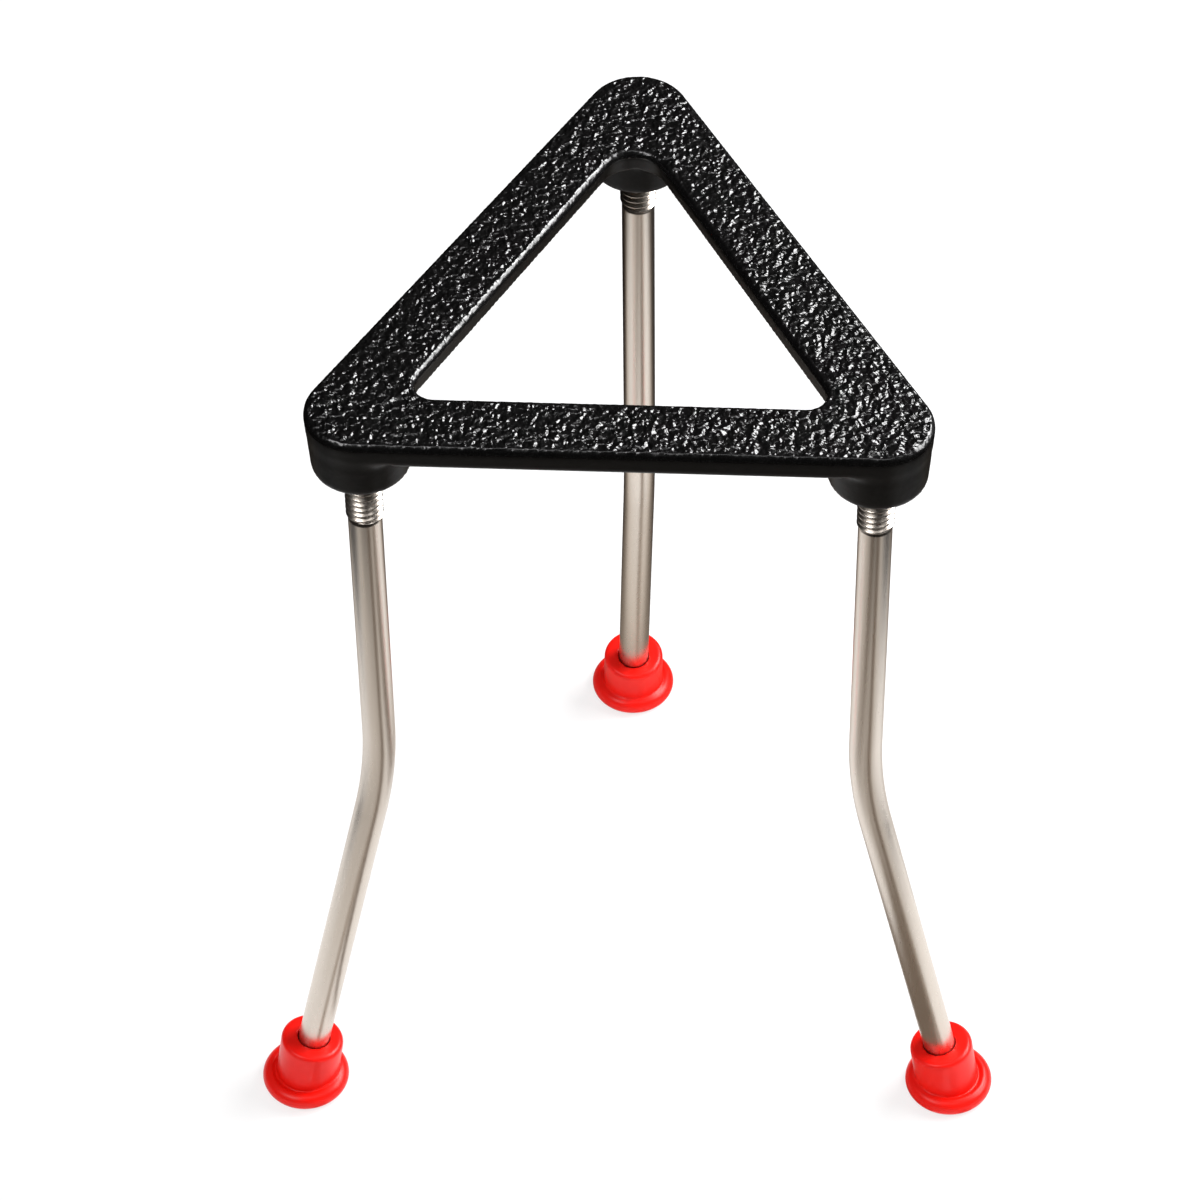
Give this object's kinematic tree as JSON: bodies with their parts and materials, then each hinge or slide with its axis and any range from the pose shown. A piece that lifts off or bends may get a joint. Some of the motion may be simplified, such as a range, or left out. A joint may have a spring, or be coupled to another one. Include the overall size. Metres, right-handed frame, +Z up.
{
  "type": "lab tripod stand",
  "caption": "Triangular cast iron lab tripod stand with bent, screwed-in rod legs and push-on moulded feet, for holding ware over a burner.",
  "frame": {"origin": "on the floor, at the middle of the ground that the feet span", "axes": "+Z up, -Y towards the frame's front bar, +X to the right along that bar"},
  "size_m": [0.1648, 0.1406, 0.209],
  "materials": {
    "cast_frame": "rough cast, black stove enamel, semi-gloss",
    "leg_rod": "drawn rod, satin nickel plate",
    "foot": "moulded soft PVC, glossy red"
  },
  "bodies": {
    "root": {"frame": "cast_frame", "leg_rear": "leg_rod", "leg_left": "leg_rod", "leg_right": "leg_rod", "foot_rear": "foot", "foot_left": "foot", "foot_right": "foot"}
  },
  "joints": []
}
